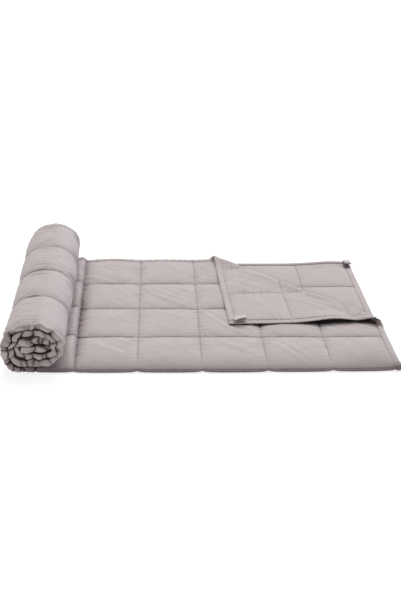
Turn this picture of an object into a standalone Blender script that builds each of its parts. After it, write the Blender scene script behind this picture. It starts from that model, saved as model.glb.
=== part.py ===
"""Weighted blanket: folded in half, one end rolled up, the upper far corner turned back.

Metres, +Z up. X runs along the blanket, with the roll at -X. Y runs across it, with the
folded edge at -Y. The origin is on the floor, under the middle of the whole.
"""

import math

import bmesh
import bpy
import numpy as np

# The blanket laid flat
POCKETS_ALONG = 11
POCKETS_ACROSS = 8
BLANKET_LENGTH = 1.219
BLANKET_WIDTH = 0.900
HEM_WIDTH = 0.012
SEAM_THICKNESS = 0.0018
HEM_THICKNESS = 0.0024
POCKET_THICKNESS = 0.0057
POCKET_FLATNESS = 2.3  # exponent of a pocket's section: higher is flatter on top
FILLING_SPREAD = 0.12  # how much less some pockets hold than the fullest

# How its two plies lie, folded in half
PLY_PITCH = 0.00633  # from the middle of one ply to the middle of the next
PACK = 2 * PLY_PITCH  # both plies
SEAM_DRAW = 0.0013  # how far a seam draws its ply towards the other
FOLD_ABOVE_SEAM = 0.002  # the folded edge lies this far above the middle seam
FLOOR_SETTLE = 0.0009  # how much the filling flattens on the floor
RIGHT_END = 0.3333
FOLDED_EDGE = -0.2252

# The roll, from the strip inwards: side, radius in plies, centre along X, reach along X,
# share of the thickness lost at the tip of the bend
BENDS = (
    ("left", 6, -0.2990, 0.0302, 0.00),
    ("right", 5, -0.2682, 0.03165, 0.25),
    ("left", 4, -0.2960, 0.0222, 0.25),
    ("right", 3, -0.2650, 0.0190, 0.25),
    ("left", 2, -0.2966, 0.0120, 0.30),
    ("right", 1, -0.2618, 0.00633, 0.28),
)
BOXY = 2.8  # exponent of a bend's low left quarter
ROUND = 2.0  # exponent of its other quarters
OUTER_TURN_LAG = 0.009  # the outside of the first turn takes this much more cloth
ROW_TURN = math.radians(20)  # most that the pack turns between two rows of points

# The upper far corner is turned back over the diagonal where x + y = DIAGONAL
DIAGONAL = 0.2541
FLAP_CLEARANCE = 0.0007
FLAP_DROP = 4.5  # run in which the flap comes down behind its bend, in bend radii
# Bend radius at shares of the way along the diagonal, from the far edge to the right-hand one
BEND_SHARE = (0.0, 0.22, 0.62, 0.88, 1.0)
BEND_RADIUS = (0.0062, 0.0052, 0.0052, 0.0064, 0.0074)
# For each metre that the flap reaches past its bend, how far it slides along the diagonal and
# how much shorter it lies
FLAP_SLIDE = 0.070
FLAP_SLACK = 0.016
DIAGONAL_CUTS = (-0.008, -0.002, 0.004, 0.009, 0.015, 0.023, 0.038, 0.066)  # from the diagonal

# The tape loops sewn on at two corners
LOOP_WIDTH = 0.015
LOOP_LENGTH = 0.023
TAPE_THICKNESS = 0.0010
LOOP_GAP = 0.0016  # between its two tapes
LOOP_SEAT = 0.0003
LOOP_INSET = 0.0030  # from the blanket's short edge
LOOP_SEAM = 0.0040  # from its long edge
LOOP_RISE = 0.0016  # of its free end
LOOP_ROWS = 16

POCKET_ALONG = (BLANKET_LENGTH - 2 * HEM_WIDTH) / POCKETS_ALONG
POCKET_ACROSS = (BLANKET_WIDTH - 2 * HEM_WIDTH) / POCKETS_ACROSS
HALF_WIDTH = BLANKET_WIDTH / 2
FOLD_RADIUS = PLY_PITCH / 2
DIAGONAL_WAY = math.sqrt(0.5)
GRID_STEP = 0.0005


def new_material(name, colour, roughness):
    material = bpy.data.materials.new(name)
    material.use_nodes = True
    shader = material.node_tree.nodes["Principled BSDF"]
    shader.inputs["Base Color"].default_value = (*colour, 1)
    shader.inputs["Roughness"].default_value = roughness
    shader.inputs["Metallic"].default_value = 0
    return material


def smooth_step(share):
    share = np.clip(share, 0, 1)
    return share * share * (3 - 2 * share)


# The middle line of the pack, seen from the folded edge


def bend_points(side, plies, centre_x, reach, squeeze):
    """Half a turn: rows of x, z and the share of the thickness that is left."""
    turning = np.linspace(-math.pi / 2, math.pi / 2, 181)
    height = plies * PLY_PITCH
    if side == "left":
        centre_z, outward, upward = 3.5 * PACK, -1, 1
        exponent = np.where(turning < 0, BOXY, ROUND)
    else:
        centre_z, outward, upward = 4.0 * PACK, 1, -1
        exponent = ROUND
    x = centre_x + outward * reach * np.abs(np.cos(turning)) ** (2 / exponent)
    rise = np.sign(turning) * np.abs(np.sin(turning)) ** (2 / exponent)
    return np.column_stack([x, centre_z + upward * height * rise, 1 - squeeze * np.cos(turning)])


def pack_path():
    """The middle line in even steps from the right-hand end: distance, x, z, share and angle."""
    inner_end = (BENDS[-1][2] - BLANKET_LENGTH, 3.5 * PACK, 1.0)
    rows = [np.array([[RIGHT_END, PACK / 2, 1.0]])]
    rows += [bend_points(*bend) for bend in BENDS]
    rows = np.vstack(rows + [np.array([inner_end])])
    run = np.concatenate([[0], np.cumsum(np.hypot(np.diff(rows[:, 0]), np.diff(rows[:, 1])))])
    distance = np.arange(0, BLANKET_LENGTH + GRID_STEP, GRID_STEP)
    x, z, share = (np.interp(distance, run, rows[:, column]) for column in range(3))
    angle = np.unwrap(np.arctan2(np.gradient(z), np.gradient(x)))
    angle[2:-2] = np.convolve(angle, np.ones(5) / 5, "valid")
    return {"distance": distance, "x": x, "z": z, "share": share, "angle": angle}


PATH = pack_path()
STRIP_LENGTH = RIGHT_END - BENDS[0][2]
OUTER_TURN = float(np.interp(math.pi, -PATH["angle"], PATH["distance"])) - STRIP_LENGTH


def along_path(distance, key):
    """A value of the middle line where this much cloth has gone in from the right-hand end."""
    turned = np.clip((distance - STRIP_LENGTH) / OUTER_TURN, 0, 1)
    travelled = distance - OUTER_TURN_LAG * np.sin(math.pi * turned)
    return np.interp(travelled, PATH["distance"], PATH[key])


# The flat blanket: s runs in from its right-hand end, a runs across from the middle seam


def rows_along():
    """Where points go along the blanket: at every seam, and closer together in the bends."""
    distance = PATH["distance"]
    turned = np.abs(np.diff(along_path(distance, "angle"), prepend=math.pi)).cumsum()
    rows = [0.0]
    for pocket in range(POCKETS_ALONG):
        start = HEM_WIDTH + pocket * POCKET_ALONG
        inside = np.linspace(start, start + POCKET_ALONG, 200)
        effort = np.interp(inside, distance, turned)
        count = 3 + max(0, math.ceil((effort[-1] - effort[0]) / ROW_TURN) - 2)
        effort = effort + (inside - start) * ROW_TURN * 3 / POCKET_ALONG
        rows += list(np.interp(np.linspace(effort[0], effort[-1], count + 1)[:-1], effort, inside))
    return rows + [BLANKET_LENGTH - HEM_WIDTH, BLANKET_LENGTH]


def rows_across():
    """Where points go across the blanket: at every seam, inside each pocket and round the fold."""
    hem = HALF_WIDTH - HEM_WIDTH
    rows = [-HALF_WIDTH, HALF_WIDTH, hem]
    for pocket in range(POCKETS_ACROSS):
        rows += [-hem + (pocket + share) * POCKET_ACROSS for share in (0, 0.3, 0.7)]
    quarter_turn = FOLD_RADIUS * math.pi / 2
    rows += [FOLD_ABOVE_SEAM + quarter_turn * share for share in (-1.0, 0.2, 1.0)]
    return sorted(rows)


def fullness_at(s, a):
    """How full the blanket is at a point, from 0 at a seam or on the hem to 1 in a pocket."""
    along = (s - HEM_WIDTH) / POCKET_ALONG
    across = (a + HALF_WIDTH - HEM_WIDTH) / POCKET_ACROSS
    if not (0 < along < POCKETS_ALONG and 0 < across < POCKETS_ACROSS):
        return 0.0
    filling = 1 - FILLING_SPREAD * (0.5 + 0.5 * math.sin(2.4 * int(along) + 4.1 * int(across)))
    for place in (along, across):
        filling *= 1 - abs(2 * (place % 1) - 1) ** POCKET_FLATNESS
    return filling


def thickness_at(s, a):
    """How thick the blanket is: its seams are thinnest, and a hem is a little thicker."""
    on_edge = min(s, BLANKET_LENGTH - s, HALF_WIDTH - abs(a)) < HEM_WIDTH / 2
    thin = HEM_THICKNESS if on_edge else SEAM_THICKNESS
    return thin + (POCKET_THICKNESS - thin) * fullness_at(s, a)


def flat_blanket():
    """A slab in the XY plane at (s, a), thin along the seams and thick in the pockets."""
    along, across = rows_along(), rows_across()
    sheet = bmesh.new()
    bmesh.ops.create_grid(sheet, x_segments=len(along) - 1, y_segments=len(across) - 1, size=1)
    for point in sheet.verts:
        column = round((point.co.x + 1) / 2 * (len(along) - 1))
        row = round((point.co.y + 1) / 2 * (len(across) - 1))
        point.co = (along[column], across[row], 0)
    cut_along_diagonal(sheet)
    mesh = bpy.data.meshes.new("flat_blanket")
    sheet.to_mesh(mesh)
    sheet.free()
    slab = bpy.data.objects.new("flat_blanket", mesh)
    bpy.context.scene.collection.objects.link(slab)
    fullness = slab.vertex_groups.new(name="fullness")
    for point in mesh.vertices:
        thickness = thickness_at(point.co.x, point.co.y)
        fullness.add([point.index], thickness / POCKET_THICKNESS, "REPLACE")
    skins = slab.modifiers.new("skins", "SOLIDIFY")
    skins.thickness = POCKET_THICKNESS
    skins.offset = 0
    skins.vertex_group = fullness.name
    graph = bpy.context.evaluated_depsgraph_get()
    solid = bpy.data.meshes.new_from_object(slab.evaluated_get(graph))
    bpy.data.objects.remove(slab)
    return solid


def cut_along_diagonal(sheet):
    """Rows of points along the diagonal bend, in the upper ply's far right quarter."""
    # On the strip, x = RIGHT_END - s and y = FOLDED_EDGE + ply_start() + a.
    meets_edge = RIGHT_END + FOLDED_EDGE + ply_start() - DIAGONAL  # s - a on the diagonal
    for offset in DIAGONAL_CUTS:
        s = meets_edge - offset / DIAGONAL_WAY
        corner = set()
        for face in sheet.faces:
            middle = face.calc_center_median()
            if middle.y > 0 and abs(middle.x - middle.y - s) < POCKET_ACROSS:
                corner.update([face], face.edges, face.verts)
        bmesh.ops.bisect_plane(
            sheet, geom=list(corner), dist=1e-5, plane_co=(s, 0, 0), plane_no=(-1, 1, 0)
        )


def ply_start():
    """What y gains on a at the upper ply, past the folded edge."""
    return FOLD_RADIUS * (1 - math.pi / 2) - FOLD_ABOVE_SEAM


# From the flat blanket to the way it lies


def folded_edge(a, lift, draw):
    """y and height over the pack's middle of a point, with the blanket folded in half."""
    past = a - FOLD_ABOVE_SEAM
    radius = FOLD_RADIUS - draw
    quarter_turn = FOLD_RADIUS * math.pi / 2
    side = math.copysign(1, past)
    if abs(past) > quarter_turn:
        return FOLDED_EDGE + FOLD_RADIUS + abs(past) - quarter_turn, side * (radius + lift)
    turn = past / FOLD_RADIUS
    reach = radius + lift
    return FOLDED_EDGE + FOLD_RADIUS - reach * math.cos(turn), reach * math.sin(turn)


def turn_back(x, y, lift):
    """Carries a point of the upper ply over the diagonal bend: x, y and height over the ply."""
    distance = (x + y) * DIAGONAL_WAY
    way = (x - y) * DIAGONAL_WAY
    apex = DIAGONAL * DIAGONAL_WAY
    far_end = (DIAGONAL - 2 * (FOLDED_EDGE + ply_start() + HALF_WIDTH)) * DIAGONAL_WAY
    right_end = (2 * RIGHT_END - DIAGONAL) * DIAGONAL_WAY
    share = (way - far_end) / (right_end - far_end)
    radius = float(np.interp(share, BEND_SHARE, BEND_RADIUS))
    past = distance - (apex - radius)
    if past <= 0:
        return x, y, lift
    turn = past / radius
    if turn < math.pi:
        distance = apex - radius + math.sin(turn) * (radius - lift)
        height = radius - math.cos(turn) * (radius - lift)
    else:
        past -= math.pi * radius
        distance = apex - radius - past * (1 - FLAP_SLACK)
        way += past * FLAP_SLIDE
        rest = PLY_PITCH + FLAP_CLEARANCE
        height = 2 * radius - (2 * radius - rest) * float(smooth_step(past / (FLAP_DROP * radius)))
        height -= lift
    return (distance + way) * DIAGONAL_WAY, (distance - way) * DIAGONAL_WAY, height


def lay(s, a, lift):
    """Where a point of the flat blanket lies: s and a on it, lift above its middle."""
    draw = SEAM_DRAW * (1 - fullness_at(s, a))
    share = float(along_path(s, "share"))
    y, height = folded_edge(a, lift, draw)
    if s < STRIP_LENGTH and a > POCKET_ACROSS * 0.5:
        middle = PACK / 2 + FOLD_RADIUS
        x, y, over = turn_back(RIGHT_END - s, y, height - FOLD_RADIUS)
        z = middle + over
    else:
        angle = float(along_path(s, "angle"))
        x = float(along_path(s, "x")) + height * share * math.sin(angle)
        z = float(along_path(s, "z")) - height * share * math.cos(angle)
    return x, y, max(z - FLOOR_SETTLE, 0)


def make_blanket(material):
    mesh = flat_blanket()
    for point in mesh.vertices:
        point.co = lay(*point.co)
    mesh.flip_normals()  # s runs against x, which turned the faces inwards
    mesh.name = "blanket"
    mesh.materials.append(material)
    mesh.shade_smooth()
    mesh.set_sharp_from_angle(angle=math.radians(50))
    blanket = bpy.data.objects.new("blanket", mesh)
    return blanket


def make_loop(name, side, material):
    """A tape folded into a flat loop, on the inner face at a right-hand corner of one ply.

    side is 1 on the upper ply and -1 on the lower. The tape is made where it lies on the flat
    blanket, and is then laid with it.
    """
    strip = bmesh.new()
    bmesh.ops.create_grid(strip, x_segments=LOOP_ROWS, y_segments=2, size=1)
    bend_radius = (LOOP_GAP + TAPE_THICKNESS) / 2
    leg = LOOP_LENGTH - bend_radius - TAPE_THICKNESS / 2
    length = 2 * leg + math.pi * bend_radius
    outer = HALF_WIDTH - LOOP_SEAM
    under = max(
        thickness_at(LOOP_INSET + LOOP_WIDTH * step / 4, outer - LOOP_LENGTH * step / 4)
        for step in range(5)
    )
    lowest = under / 2 + LOOP_SEAT + TAPE_THICKNESS / 2
    for point in strip.verts:
        gone = (point.co.x + 1) / 2 * length
        turn = min(max((gone - leg) / bend_radius, 0), math.pi)
        reach = min(gone, leg) - max(gone - leg - math.pi * bend_radius, 0)
        reach += bend_radius * math.sin(turn)
        rise = LOOP_RISE * (reach / LOOP_LENGTH) ** 2
        height = lowest + bend_radius * (1 - math.cos(turn)) + rise
        s = LOOP_INSET + LOOP_WIDTH * (point.co.y + 1) / 2
        point.co = (s, side * (outer - reach), -height)
    mesh = bpy.data.meshes.new(name)
    strip.to_mesh(mesh)
    strip.free()
    tape = bpy.data.objects.new(name, mesh)
    bpy.context.scene.collection.objects.link(tape)
    thick = tape.modifiers.new("tape", "SOLIDIFY")
    thick.thickness = TAPE_THICKNESS
    thick.offset = 0
    graph = bpy.context.evaluated_depsgraph_get()
    solid = bpy.data.meshes.new_from_object(tape.evaluated_get(graph))
    bpy.data.objects.remove(tape)
    for point in solid.vertices:
        s, a, lift = point.co
        point.co = lay(s, a, lift)
    solid.flip_normals()
    solid.materials.append(material)
    return bpy.data.objects.new(name, solid)


def main():
    for obj in list(bpy.data.objects):
        bpy.data.objects.remove(obj)
    collection = bpy.data.collections.new("weighted_blanket")
    bpy.context.scene.collection.children.link(collection)
    cotton = new_material("grey_cotton", (0.47, 0.42, 0.41), 0.9)
    tape = new_material("grey_cotton_tape", (0.52, 0.48, 0.47), 0.85)
    collection.objects.link(make_blanket(cotton))
    collection.objects.link(make_loop("corner_loop_far", -1, tape))
    collection.objects.link(make_loop("corner_loop_turned", 1, tape))


main()
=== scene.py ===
import math

import bmesh
import bpy
import numpy as np
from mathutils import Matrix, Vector
from mathutils.geometry import delaunay_2d_cdt


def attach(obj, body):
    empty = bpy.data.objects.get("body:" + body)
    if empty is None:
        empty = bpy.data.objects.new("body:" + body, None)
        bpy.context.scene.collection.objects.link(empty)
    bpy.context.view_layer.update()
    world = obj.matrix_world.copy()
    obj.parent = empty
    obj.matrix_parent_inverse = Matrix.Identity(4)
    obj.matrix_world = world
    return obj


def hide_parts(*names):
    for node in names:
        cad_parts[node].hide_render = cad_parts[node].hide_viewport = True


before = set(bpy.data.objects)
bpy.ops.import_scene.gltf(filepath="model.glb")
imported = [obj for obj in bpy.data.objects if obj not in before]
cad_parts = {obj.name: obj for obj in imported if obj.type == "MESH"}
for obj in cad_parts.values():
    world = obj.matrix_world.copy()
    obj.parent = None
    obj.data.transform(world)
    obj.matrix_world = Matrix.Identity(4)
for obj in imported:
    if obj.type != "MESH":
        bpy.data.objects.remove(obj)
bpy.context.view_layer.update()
mm = 0.001
tiny = 1e-6


def addObject(name, data):
    made = bpy.data.objects.new(name, data)
    bpy.context.scene.collection.objects.link(made)
    return made


def newMesh(name, points, edges, faces):
    mesh = bpy.data.meshes.new(name)
    mesh.from_pydata(points, edges, faces)
    return mesh


def pointsOf(mesh):
    points = np.zeros(len(mesh.vertices) * 3)
    mesh.vertices.foreach_get("co", points)
    return points.reshape(-1, 3)


def turnOutward(mesh):
    shell = bmesh.new()
    shell.from_mesh(mesh)
    volume = shell.calc_volume(signed=True)
    if volume < 0:
        bmesh.ops.reverse_faces(shell, faces=shell.faces[:])
        shell.to_mesh(mesh)
    shell.free()
    print(mesh.name, round(volume * 1e6, 2), "cm3, turned" if volume < 0 else "cm3")


def printTriangles(mesh):
    print(mesh.name, sum(len(face.vertices) - 2 for face in mesh.polygons), "triangles")


def finishPiece(mesh, places, material):
    # places are where each point is on the flat cloth, for its weave
    corner = np.zeros(len(mesh.loops), int)
    mesh.loops.foreach_get("vertex_index", corner)
    mesh.uv_layers.new(name="cloth").data.foreach_set("uv", places[corner].ravel())
    mesh.materials.append(material)
    mesh.shade_smooth()
    turnOutward(mesh)
    printTriangles(mesh)
    return addObject(mesh.name, mesh)


# Camera

cameraView = {
    "place": (-76.7 * mm, -1518.6 * mm, 773.2 * mm),
    "tilt": 63.644,  # degrees up from looking straight down
    "focal": 53.86,  # for the 36 mm of the frame's long side
    "sideShift": 43 / 601,  # the blanket lies left of the lens's axis
}


def makeCamera():
    lens = bpy.data.cameras.new("camera")
    lens.sensor_fit = "VERTICAL"
    lens.sensor_height = 36
    lens.sensor_width = 36
    lens.lens = cameraView["focal"]
    lens.shift_x = cameraView["sideShift"]
    camera = addObject("camera", lens)
    camera.location = cameraView["place"]
    camera.rotation_euler = (math.radians(cameraView["tilt"]), 0, 0)
    bpy.context.scene.camera = camera
    print("camera")


# Studio


def hexToLinear(code):
    values = [int(code[place : place + 2], 16) / 255 for place in (1, 3, 5)]
    linear = [v / 12.92 if v <= 0.04045 else ((v + 0.055) / 1.055) ** 2.4 for v in values]
    return (*linear, 1)


def setInputs(tree, node, inputs):
    # sockets by name or number, each with a value or an output socket to link from
    for name, value in inputs.items():
        if isinstance(value, bpy.types.NodeSocket):
            tree.links.new(value, node.inputs[name])
        else:
            node.inputs[name].default_value = value


def addNode(tree, kind, inputs=None, **settings):
    node = tree.nodes.new(kind)
    for name, value in settings.items():
        setattr(node, name, value)
    setInputs(tree, node, inputs or {})
    return node


def calculate(tree, operation, *values):
    return addNode(tree, "ShaderNodeMath", dict(enumerate(values)), operation=operation).outputs[0]


def newMaterial(name):
    material = bpy.data.materials.new(name)
    material.use_nodes = True
    tree = material.node_tree
    return material, tree, tree.nodes["Principled BSDF"]


studio = {
    "floorSize": 400,  # m, its edge is out of every view
    "floorColour": "#a8a8a8",
    "floorGlow": 0.75,  # a light table, so shadows on it stay pale
    "skyTop": 0.86,  # how bright the room is overhead and behind
    "skyFront": 0.04,  # and behind the camera
    "skyLow": -0.45,  # where it's darkest, from -1 down to 1 up
    "skyTurn": 0.45,  # how far its bright part leans to the back
    "lampStrength": 1.86,
    "lampColour": "#ffffff",
    "lampSoftness": 34,  # degrees across
    "lampTilt": (-36, 8, 0),  # from overhead, to the back and the right
    "windowStrength": 0.52,
    "windowColour": "#ccd6ff",  # weak daylight from the right
    "windowSoftness": 40,
    "windowTilt": (-8, 66, 0),
}


def makeStudio():
    half = studio["floorSize"] / 2
    corners = [(-half, -half, 0), (half, -half, 0), (half, half, 0), (-half, half, 0)]
    floor = addObject("floor", newMesh("floor", corners, [], [(0, 1, 2, 3)]))
    paper, tree, shader = newMaterial("mattLightTable")
    look = {"Base Color": hexToLinear(studio["floorColour"]), "Roughness": 1, "Specular IOR Level": 0}
    glow = {"Emission Color": (1, 1, 1, 1), "Emission Strength": studio["floorGlow"]}
    setInputs(tree, shader, {**look, **glow})
    floor.data.materials.append(paper)

    world = bpy.data.worlds.new("softRoom")
    world.use_nodes = True
    tree = world.node_tree
    tree.nodes.clear()
    place = addNode(tree, "ShaderNodeTexCoord")
    axes = addNode(tree, "ShaderNodeSeparateXYZ", {0: place.outputs["Generated"]})
    lean = calculate(tree, "MULTIPLY_ADD", axes.outputs["Y"], studio["skyTurn"], axes.outputs["Z"])
    span = {0: lean, "From Min": studio["skyLow"], "To Min": studio["skyFront"], "To Max": studio["skyTop"]}
    light = addNode(tree, "ShaderNodeMapRange", span, interpolation_type="SMOOTHSTEP")
    room = addNode(tree, "ShaderNodeBackground", {"Strength": light.outputs[0]})
    addNode(tree, "ShaderNodeOutputWorld", {0: room.outputs[0]})
    bpy.context.scene.world = world

    for name in ("lamp", "window"):
        lamp = bpy.data.lights.new(name, "SUN")
        lamp.energy = studio[name + "Strength"]
        lamp.color = hexToLinear(studio[name + "Colour"])[:3]
        lamp.angle = math.radians(studio[name + "Softness"])
        turns = [math.radians(turn) for turn in studio[name + "Tilt"]]
        addObject(name, lamp).rotation_euler = turns
    bpy.context.scene.view_settings.view_transform = "Standard"
    print("studio")


# Blanket: s runs in from its right end, a runs across from the middle seam, + is the upper ply

blanket = {
    "length": 1.219,
    "width": 0.900,
    "hem": 0.012,
    "pocketsAlong": 11,
    "pocketsAcross": 8,
    "seamThickness": 0.0010,
    "hemThickness": 0.0034,  # doubled, with a little air in it
    "pocketThickness": 0.0060,
    "topSwell": 0.38,  # how much fuller the top face stands
    "flatness": 2.9,
    "wallShare": 0.27,  # share of its height gained close to a seam
    "wallReach": 0.0022,
    "fillingSpread": 0.12,
    "plyPitch": 0.00633,
    "seamDraw": 0.0018,
    "seamCrease": 0.0006,  # a narrow crease along each seam
    "creaseReach": 0.0022,
    "columnsOnRoll": 0.03,  # how deep the seams along the roll are
    "rowsOnRoll": 1.0,  # and how deep those round it are
    "foldAboveSeam": 0.002,
    "seamRise": 0.0036,  # how far the filling pushes the middle seam up
    "floorSettle": 0.0009,
    "rightEnd": 0.3333,
    "foldedEdge": -0.2252,
}
hem, rightEnd, foldedEdge = blanket["hem"], blanket["rightEnd"], blanket["foldedEdge"]
pocketAlong = (blanket["length"] - 2 * hem) / blanket["pocketsAlong"]
pocketAcross = (blanket["width"] - 2 * hem) / blanket["pocketsAcross"]
halfWidth = blanket["width"] / 2
plyPitch = blanket["plyPitch"]
pack = 2 * plyPitch
foldRadius = plyPitch / 2

# The roll's half turns, from the strip inwards: side, radius in plies, centre along X, reach
# along X, share of the thickness lost at the tip of the bend
roll = {
    "bends": (
        ("left", 6, -0.2990, 0.0302, 0.00),
        ("right", 5, -0.2682, 0.03165, 0.25),
        ("left", 4, -0.2960, 0.0222, 0.25),
        ("right", 3, -0.2650, 0.0190, 0.25),
        ("left", 2, -0.2966, 0.0120, 0.30),
        ("right", 1, -0.2618, 0.00633, 0.28),
    ),
    "boxy": 3.2,
    "round": 2.0,
    "outerTurnLag": 0.009,
    "innerSlack": 0.018,  # how much further in the blanket's end reaches
    "pathStep": 0.0005,
}

# The corner turned back over the diagonal x + y = diagonal
flap = {
    "diagonal": 0.2541,
    "clearance": 0.0007,
    "drop": 4.5,  # run in which it comes down, in bend radii
    "bendShare": (0.0, 0.22, 0.62, 0.88, 1.0),
    "bendRadius": (0.0062, 0.0052, 0.0052, 0.0064, 0.0074),
    "slide": 0.070,  # along the diagonal, for each metre past its bend
    "slack": 0.016,  # and how much shorter it lies
    "hemEnd": 0.072,  # where its hem meets the bend
    "hemLine": -0.083,
    "hemSlope": 0.034,
}


def smoothStep(distance, width=1):
    share = np.clip(distance / width, 0, 1)
    return share * share * (3 - 2 * share)


def bump(distance, reach):
    return np.exp(-((distance / reach) ** 2))


def bendPoints(side, plies, centreX, reach, squeeze):
    turning = np.linspace(-math.pi / 2, math.pi / 2, 181)
    height = plies * plyPitch
    if side == "left":
        centreZ, outward, upward = 3.5 * pack, -1, 1
        exponent = np.where(turning < 0, roll["boxy"], roll["round"])
    else:
        centreZ, outward, upward = 4.0 * pack, 1, -1
        exponent = roll["round"]
    x = centreX + outward * reach * np.abs(np.cos(turning)) ** (2 / exponent)
    rise = np.sign(turning) * np.abs(np.sin(turning)) ** (2 / exponent)
    return np.column_stack([x, centreZ + upward * height * rise, 1 - squeeze * np.cos(turning)])


def packPath():
    innerEnd = (roll["bends"][-1][2] - blanket["length"], 3.5 * pack, 1.0)
    rows = [np.array([[rightEnd, pack / 2, 1.0]])]
    rows += [bendPoints(*bend) for bend in roll["bends"]]
    rows = np.vstack(rows + [np.array([innerEnd])])
    run = np.concatenate([[0], np.cumsum(np.hypot(np.diff(rows[:, 0]), np.diff(rows[:, 1])))])
    distance = np.arange(0, blanket["length"] + 2 * roll["innerSlack"], roll["pathStep"])
    x, z, share = (np.interp(distance, run, rows[:, column]) for column in range(3))
    angle = np.unwrap(np.arctan2(np.gradient(z), np.gradient(x)))
    angle[2:-2] = np.convolve(angle, np.ones(5) / 5, "valid")
    return {"distance": distance, "x": x, "z": z, "share": share, "angle": angle}


path = packPath()
stripLength = rightEnd - roll["bends"][0][2]
outerTurn = float(np.interp(math.pi, -path["angle"], path["distance"])) - stripLength


def alongPath(s, key):
    turned = np.clip((s - stripLength) / outerTurn, 0, 1)
    inward = np.clip((s - stripLength - outerTurn) / (blanket["length"] - stripLength - outerTurn), 0, 1)
    travelled = s - roll["outerTurnLag"] * np.sin(math.pi * turned) + roll["innerSlack"] * inward**2
    return np.interp(travelled, path["distance"], path[key])


def pocketPlace(s, a):
    # which pocket a point is in and where in it, or on the hem outside them all
    along = (s - hem) / pocketAlong
    across = (a + halfWidth - hem) / pocketAcross
    inside = (along > 0) & (along < blanket["pocketsAlong"])
    inside &= (across > 0) & (across < blanket["pocketsAcross"])
    return along, across, inside


def slackness(s):
    # 1 where pockets lie loose, and 0 on the outside of the roll
    return 1 - smoothStep(s - stripLength + 0.02, 0.04)


def fullness(s, a):
    along, across, inside = pocketPlace(s, a)
    wave = np.sin(2.4 * np.floor(along) + 4.1 * np.floor(across))
    filling = 1 - blanket["fillingSpread"] * (0.5 + 0.5 * wave)
    wall, slack = blanket["wallShare"], slackness(s)
    for place, size, flattened in (
        (along, pocketAlong, blanket["columnsOnRoll"]),
        (across, pocketAcross, blanket["rowsOnRoll"]),
    ):
        crown = 1 - np.abs(2 * (place % 1) - 1) ** blanket["flatness"]
        distance = np.abs(place - np.round(place)) * size
        filled = wall * (1 - np.exp(-distance / blanket["wallReach"])) + (1 - wall) * crown
        filling = filling * (1 - (1 - filled) * (flattened + (1 - flattened) * slack))
    return np.where(inside, filling, 0)


def edgeDistances(s, a):
    # to the nearer short edge, and to the nearer long edge
    return np.minimum(s, blanket["length"] - s), halfWidth - np.abs(a)


def thickness(s, a):
    inHem = np.clip(np.minimum(*edgeDistances(s, a)) / hem, 0, 1)
    thin = blanket["seamThickness"]
    thin = thin + (blanket["hemThickness"] - thin) * np.clip(4 * inHem * (1 - inHem), 0, 1) ** 0.6
    return thin + (blanket["pocketThickness"] - thin) * fullness(s, a)


def stuffedFold(s, a):
    # 1 at the folded edge on the roll, where the layers are packed tight
    return smoothStep(s - stripLength + 0.01, 0.04) * bump(a, 0.010)


def beforeTurning(s, a):
    # where a point lies before the corner is turned, and how far past the diagonal
    x, y = rightEnd - s, foldedEdge + plyStart + np.abs(a)
    return x, y, x + y - flap["diagonal"]


def laidOpen(s, a):
    # 1 where the inner face shows: on the turned-back corner and the ply it uncovers
    return smoothStep(beforeTurning(s, a)[2] + 0.006, 0.012)


def seamDistances(s, a):
    # to the nearest column seam, and to the nearest row seam
    along, across = pocketPlace(s, a)[:2]
    return np.abs(along - np.round(along)) * pocketAlong, np.abs(across - np.round(across)) * pocketAcross


def overFold(a):
    # how far past the folded edge, with the middle seam pushed up
    return a - blanket["foldAboveSeam"] + blanket["seamRise"] * bump(a, 0.020)


plyStart = foldRadius * (1 - math.pi / 2) - blanket["foldAboveSeam"]  # what y gains on a


def foldOver(a, lift, draw, boxiness):
    # y, and the height over the pack's middle, with the blanket folded in half
    past = overFold(a)
    radius = foldRadius - draw
    quarterTurn = foldRadius * math.pi / 2
    turn = np.clip(past / foldRadius, -math.pi / 2, math.pi / 2)
    beyond = np.maximum(np.abs(past) - quarterTurn, 0)
    reach = radius + lift
    y = foldedEdge + foldRadius + beyond - reach * np.cos(turn) ** (2 / boxiness)
    return y, reach * np.sign(turn) * np.abs(np.sin(turn)) ** (2 / boxiness)


def turnBack(x, y, lift):
    half = math.sqrt(0.5)
    distance = (x + y) * half
    way = (x - y) * half
    apex = flap["diagonal"] * half
    farEdge = foldedEdge + plyStart + halfWidth
    farEnd = (flap["diagonal"] - 2 * farEdge) * half
    nearEnd = (2 * rightEnd - flap["diagonal"]) * half
    share = (way - farEnd) / (nearEnd - farEnd)
    radius = np.interp(share, flap["bendShare"], flap["bendRadius"])
    past = distance - (apex - radius)
    turn = np.clip(past / radius, 0, math.pi)
    beyond = np.maximum(past - math.pi * radius, 0)
    rest = plyPitch + flap["clearance"]
    drop = smoothStep(beyond / (flap["drop"] * radius))
    bentDistance = apex - radius + np.sin(turn) * (radius - lift) - beyond * (1 - flap["slack"])
    bentHeight = radius - np.cos(turn) * (radius - lift) - (2 * radius - rest) * drop
    bent = past > 0
    distance = np.where(bent, bentDistance, distance)
    height = np.where(bent, bentHeight, lift)
    way = way + np.where(bent, beyond, 0) * flap["slide"]
    return (distance + way) * half, (distance - way) * half, height


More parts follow.
